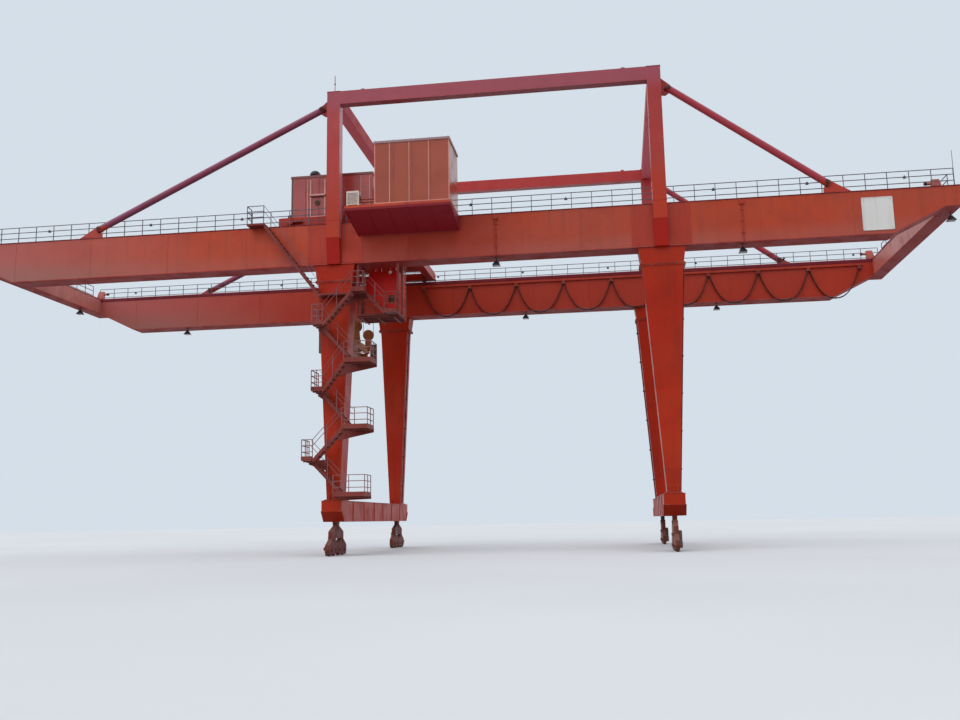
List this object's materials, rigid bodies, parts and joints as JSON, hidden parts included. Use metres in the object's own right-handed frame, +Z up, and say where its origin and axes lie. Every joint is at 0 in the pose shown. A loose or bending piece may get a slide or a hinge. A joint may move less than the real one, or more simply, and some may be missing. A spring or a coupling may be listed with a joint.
{
  "type": "rail-mounted gantry crane, model at half size",
  "caption": "Half-size model of a rail-mounted container gantry crane with overhanging box girders, upper portal with stays, travelling trolley, cab and container spreader.",
  "frame": {"origin": "on the rail-top level, midway between the two crane rails and midway between the two girders", "axes": "+X along the girders towards the short overhang, +Y along the crane rails towards the far girder, +Z up; the near girder with the electrical house is on the -Y side"},
  "size_m": [30.99, 10.945, 14.9249],
  "materials": {
    "girder_paint": "satin, weathered",
    "leg_paint": "satin, weathered",
    "bogie_paint": "matt, rusty",
    "portal_paint": "matt, faded",
    "stay_paint": "matt, faded",
    "house_paint": "satin",
    "machinery_paint": "satin, weathered",
    "stair_paint": "matt",
    "spreader_paint": "matt, dirty",
    "railing_grey": "matt",
    "light_grey": "satin",
    "steel": "worn",
    "cable_black": "matt"
  },
  "bodies": {
    "crane": {"near_girder": "girder_paint", "far_girder": "girder_paint", "left_end_beam": "girder_paint", "right_end_beam": "girder_paint", "near_left_leg": "leg_paint", "near_right_leg": "leg_paint", "far_left_leg": "leg_paint", "far_right_leg": "leg_paint", "left_sill_beam": "leg_paint", "right_sill_beam": "leg_paint", "near_left_bogie": "bogie_paint", "near_right_bogie": "bogie_paint", "far_left_bogie": "bogie_paint", "far_right_bogie": "bogie_paint", "near_left_post": "portal_paint", "near_right_post": "portal_paint", "far_left_post": "portal_paint", "far_right_post": "portal_paint", "near_top_beam": "portal_paint", "far_top_beam": "portal_paint", "left_cross_beam": "portal_paint", "right_cross_beam": "portal_paint", "near_left_stay": "stay_paint", "near_right_stay": "stay_paint", "far_left_stay": "stay_paint", "far_right_stay": "stay_paint", "house_platform": "leg_paint", "electrical_house": "house_paint", "air_conditioner": "light_grey", "near_railing": "railing_grey", "far_railing": "railing_grey", "end_railings": "railing_grey", "stair_stringers": "stair_paint", "stair_treads": "stair_paint", "stair_landings": "stair_paint", "stair_railings": "railing_grey", "cab_gallery": "stair_paint", "festoon_track": "railing_grey", "festoon_cables": "cable_black", "floodlights": "light_grey"},
    "trolley": {"trolley_frame": "leg_paint", "trolley_wheels": "steel", "machinery_house": "machinery_paint", "operator_cab": "machinery_paint", "cab_ladder": "railing_grey", "hoist_ropes": "steel"},
    "spreader": {"head_block": "spreader_paint", "spreader_frame": "spreader_paint", "spreader_flippers": "railing_grey"}
  },
  "joints": [
    {"name": "trolley_travel", "type": "slide", "parent": "crane", "child": "trolley", "axis": [1, 0, 0], "range_m": [-9.99, 15.87]},
    {"name": "hoist", "type": "slide", "parent": "trolley", "child": "spreader", "axis": [0, 0, 1], "range_m": [-4.85, 2.2], "deforming": ["hoist_ropes"]}
  ]
}
